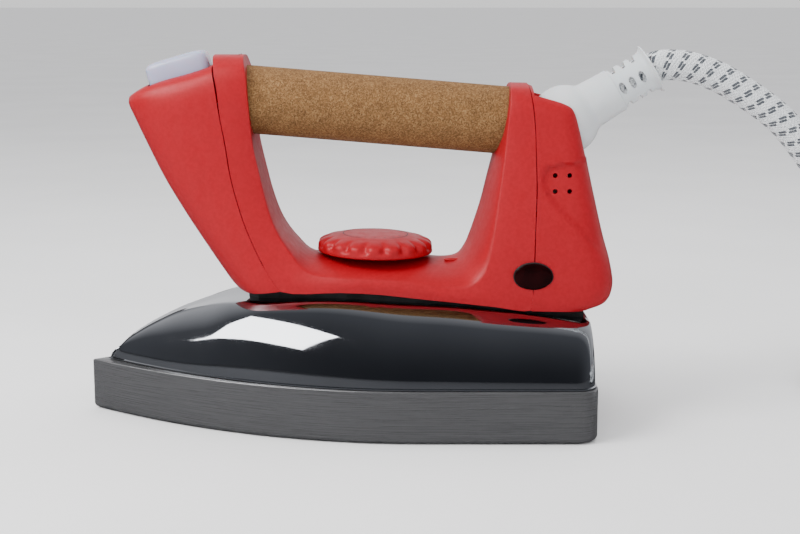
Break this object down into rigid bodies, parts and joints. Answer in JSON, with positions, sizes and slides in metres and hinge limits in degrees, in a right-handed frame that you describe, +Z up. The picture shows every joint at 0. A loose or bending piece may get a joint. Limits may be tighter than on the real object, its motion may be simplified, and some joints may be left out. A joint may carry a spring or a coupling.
{
  "type": "steam station iron",
  "caption": "Iron handpiece of a household steam station, with a cork grip, a steam button, a thermostat dial and a braided steam hose on a swivelling guard.",
  "frame": {"origin": "on the flat underside of the soleplate, on its centre line, 118 mm behind the tip", "axes": "+X towards the heel, +Y towards the iron's right side, +Z up from the sole"},
  "size_m": [0.5055, 0.1645, 0.1654],
  "materials": {
    "sole_metal": "brushed",
    "inner_metal": "matte",
    "steel": "satin",
    "chrome": "polished",
    "black_plastic": "matte",
    "red_plastic": "satin",
    "cork": "matte",
    "ceramic": "matte",
    "brass": "satin",
    "milky_plastic": "translucent satin",
    "lead_insulation": "matte",
    "lens_plastic": "glossy",
    "lamp_glass": "clear",
    "grey_rubber": "satin",
    "silicone": "matte",
    "braid": "woven"
  },
  "bodies": {
    "iron": {"soleplate": "sole_metal", "steam_chamber_cover": "inner_metal", "heating_element": "steel", "chrome_cover": "chrome", "spacer": "black_plastic", "handle_frame": "red_plastic", "front_cover": "red_plastic", "rear_cover": "red_plastic", "cork_grip": "cork", "grip_core": "steel", "grip_washer": "steel", "grip_nut": "steel", "thermostat_body": "ceramic", "thermal_fuse": "ceramic", "steam_inlet_nipple": "brass", "housing_bolt_front": "steel", "housing_bolt_rear": "steel", "microswitch_body": "black_plastic", "switch_bracket": "black_plastic", "button_spring": "steel", "switch_leads": "lead_insulation", "heater_lead_near": "lead_insulation", "heater_lead_far": "lead_insulation", "terminal_block": "ceramic", "pilot_lens": "lens_plastic", "pilot_lamp": "lamp_glass", "guard_saddle": "black_plastic", "steam_tube": "silicone", "hose_tube": "braid", "hose_coil": "braid", "hose_tail": "braid", "hose_boot": "grey_rubber", "steam_union": "brass"},
    "button": {"steam_button": "milky_plastic"},
    "plunger": {"microswitch_plunger": "red_plastic"},
    "dial": {"thermostat_knob": "red_plastic", "thermostat_shaft": "steel"},
    "guard": {"cord_guard": "grey_rubber"}
  },
  "joints": [
    {"name": "button_press", "type": "slide", "parent": "iron", "child": "button", "axis": [0.2756, 0, -0.9613], "range_m": [0, 0.0025], "stiffness_N_per_m": 400, "springref_m": -0.001, "deforming": ["button_spring"]},
    {"name": "plunger_slide", "type": "slide", "parent": "iron", "child": "plunger", "axis": [0.2756, 0, -0.9613], "range_m": [0, 0.0025]},
    {"name": "dial_turn", "type": "hinge", "parent": "iron", "child": "dial", "pos_m": [0.0119, 0, 0.0733], "axis": [0.0244, 0, 0.9997], "range_deg": [0, 300]},
    {"name": "guard_pitch", "type": "hinge", "parent": "iron", "child": "guard", "pos_m": [0.0968, 0, 0.1326], "axis": [0, -1, 0], "range_deg": [-35, 40], "deforming": ["hose_tube"]}
  ],
  "couplings": [
    {"joint": "plunger_slide", "follows": "button_press", "ratio": 1}
  ]
}
